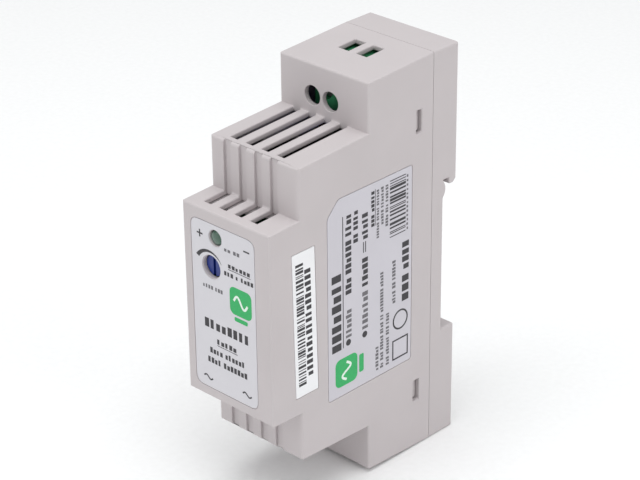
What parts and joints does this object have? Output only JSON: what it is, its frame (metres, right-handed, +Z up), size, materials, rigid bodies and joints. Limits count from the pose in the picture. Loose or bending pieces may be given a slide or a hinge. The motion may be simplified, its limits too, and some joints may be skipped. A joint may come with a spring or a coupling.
{
  "type": "din rail power supply",
  "caption": "Narrow stepped grey plastic power supply that clips on a top-hat rail, with a sprung foot latch, screw clamp terminals, vents, a status light and a voltage trimmer.",
  "frame": {"origin": "centre of the rail seat: on the seat's plane, in the middle of the width, at the rail's centre line", "axes": "+X right seen from the front, +Y out of the back towards the rail, +Z up along the height"},
  "size_m": [0.025, 0.056, 0.093],
  "materials": {
    "housing_plastic": "fine spark-eroded light warm grey",
    "latch_plastic": "smooth light grey",
    "label_film": "silver-grey polyester film",
    "label_paper": "white paper label",
    "spring_steel": "bright drawn wire",
    "nickel_plate": "nickel plated",
    "board_laminate": "green solder mask",
    "terminal_green": "green moulded terminal plastic",
    "led_epoxy": "tinted clear epoxy",
    "trimmer_blue": "blue moulded plastic",
    "ferrite": "ground dark ferrite",
    "yellow_tape": "yellow polyester tape",
    "black_moulding": "black moulded plastic",
    "violet_sleeve": "dark blue-violet shrink sleeve",
    "black_sleeve": "black shrink sleeve",
    "yellow_box": "yellow moulded box",
    "winding_copper": "enamelled copper wire",
    "blue_coating": "blue epoxy coating",
    "green_coating": "dark green epoxy coating",
    "sheet_aluminium": "plain rolled",
    "insulating_film": "milky polyester sheet"
  },
  "bodies": {
    "housing": {"front_case": "housing_plastic", "rear_cover": "housing_plastic", "latch_spring": "spring_steel", "front_label": "label_film", "rating_label": "label_film", "serial_label": "label_paper", "main_board": "board_laminate", "control_board": "board_laminate", "terminal_block_dc": "terminal_green", "terminal_block_ac": "terminal_green", "status_led": "led_epoxy", "trimmer_body": "trimmer_blue", "transformer_core": "ferrite", "transformer_winding": "yellow_tape", "transformer_bobbin": "black_moulding", "bulk_capacitor": "black_sleeve", "output_capacitor_large": "violet_sleeve", "output_capacitor_small": "violet_sleeve", "film_capacitor": "yellow_box", "fuse": "black_moulding", "bridge_rectifier": "black_moulding", "inrush_thermistor": "green_coating", "y_capacitor": "blue_coating", "mosfet_heatsink": "sheet_aluminium", "mosfet": "black_moulding", "diode_heatsink": "sheet_aluminium", "output_diode": "black_moulding", "output_inductor": "winding_copper", "optocoupler": "black_moulding", "controller_chip": "black_moulding", "insulation_sheet": "insulating_film", "contact_bar_dc_1": "nickel_plate", "contact_bar_dc_2": "nickel_plate", "contact_bar_ac_1": "nickel_plate", "contact_bar_ac_2": "nickel_plate"},
    "latch": {"din_latch": "latch_plastic"},
    "trimmer": {"trimmer_rotor": "trimmer_blue"},
    "screw_dc_1": {"terminal_screw_dc_1": "nickel_plate"},
    "cage_dc_1": {"clamp_cage_dc_1": "nickel_plate"},
    "screw_dc_2": {"terminal_screw_dc_2": "nickel_plate"},
    "cage_dc_2": {"clamp_cage_dc_2": "nickel_plate"},
    "screw_ac_1": {"terminal_screw_ac_1": "nickel_plate"},
    "cage_ac_1": {"clamp_cage_ac_1": "nickel_plate"},
    "screw_ac_2": {"terminal_screw_ac_2": "nickel_plate"},
    "cage_ac_2": {"clamp_cage_ac_2": "nickel_plate"}
  },
  "joints": [
    {"name": "latch_slide", "type": "slide", "parent": "housing", "child": "latch", "axis": [0, 0, -1], "range_m": [0, 0.004], "stiffness_N_per_m": 1200, "springref_m": -0.002, "deforming": ["latch_spring"]},
    {"name": "trimmer_turn", "type": "hinge", "parent": "housing", "child": "trimmer", "pos_m": [-0.0045, -0.048, 0.0111], "axis": [0, 1, 0], "range_deg": [-130, 130]},
    {"name": "screw_turn_dc_1", "type": "hinge", "parent": "housing", "child": "screw_dc_1", "pos_m": [-0.00324, -0.017, 0.04025], "axis": [0, 1, 0], "range_deg": [0, 1735]},
    {"name": "cage_lift_dc_1", "type": "slide", "parent": "housing", "child": "cage_dc_1", "axis": [0, -1, 0], "range_m": [0, 0.0024]},
    {"name": "screw_turn_dc_2", "type": "hinge", "parent": "housing", "child": "screw_dc_2", "pos_m": [0.00184, -0.017, 0.04025], "axis": [0, 1, 0], "range_deg": [0, 1735]},
    {"name": "cage_lift_dc_2", "type": "slide", "parent": "housing", "child": "cage_dc_2", "axis": [0, -1, 0], "range_m": [0, 0.0024]},
    {"name": "screw_turn_ac_1", "type": "hinge", "parent": "housing", "child": "screw_ac_1", "pos_m": [-0.00324, -0.017, -0.03665], "axis": [0, 1, 0], "range_deg": [0, 1735]},
    {"name": "cage_lift_ac_1", "type": "slide", "parent": "housing", "child": "cage_ac_1", "axis": [0, -1, 0], "range_m": [0, 0.0024]},
    {"name": "screw_turn_ac_2", "type": "hinge", "parent": "housing", "child": "screw_ac_2", "pos_m": [0.00184, -0.017, -0.03665], "axis": [0, 1, 0], "range_deg": [0, 1735]},
    {"name": "cage_lift_ac_2", "type": "slide", "parent": "housing", "child": "cage_ac_2", "axis": [0, -1, 0], "range_m": [0, 0.0024]}
  ],
  "couplings": [
    {"joint": "screw_turn_dc_1", "follows": "cage_lift_dc_1", "rad_per_m": 12566},
    {"joint": "screw_turn_dc_2", "follows": "cage_lift_dc_2", "rad_per_m": 12566},
    {"joint": "screw_turn_ac_1", "follows": "cage_lift_ac_1", "rad_per_m": 12566},
    {"joint": "screw_turn_ac_2", "follows": "cage_lift_ac_2", "rad_per_m": 12566}
  ]
}
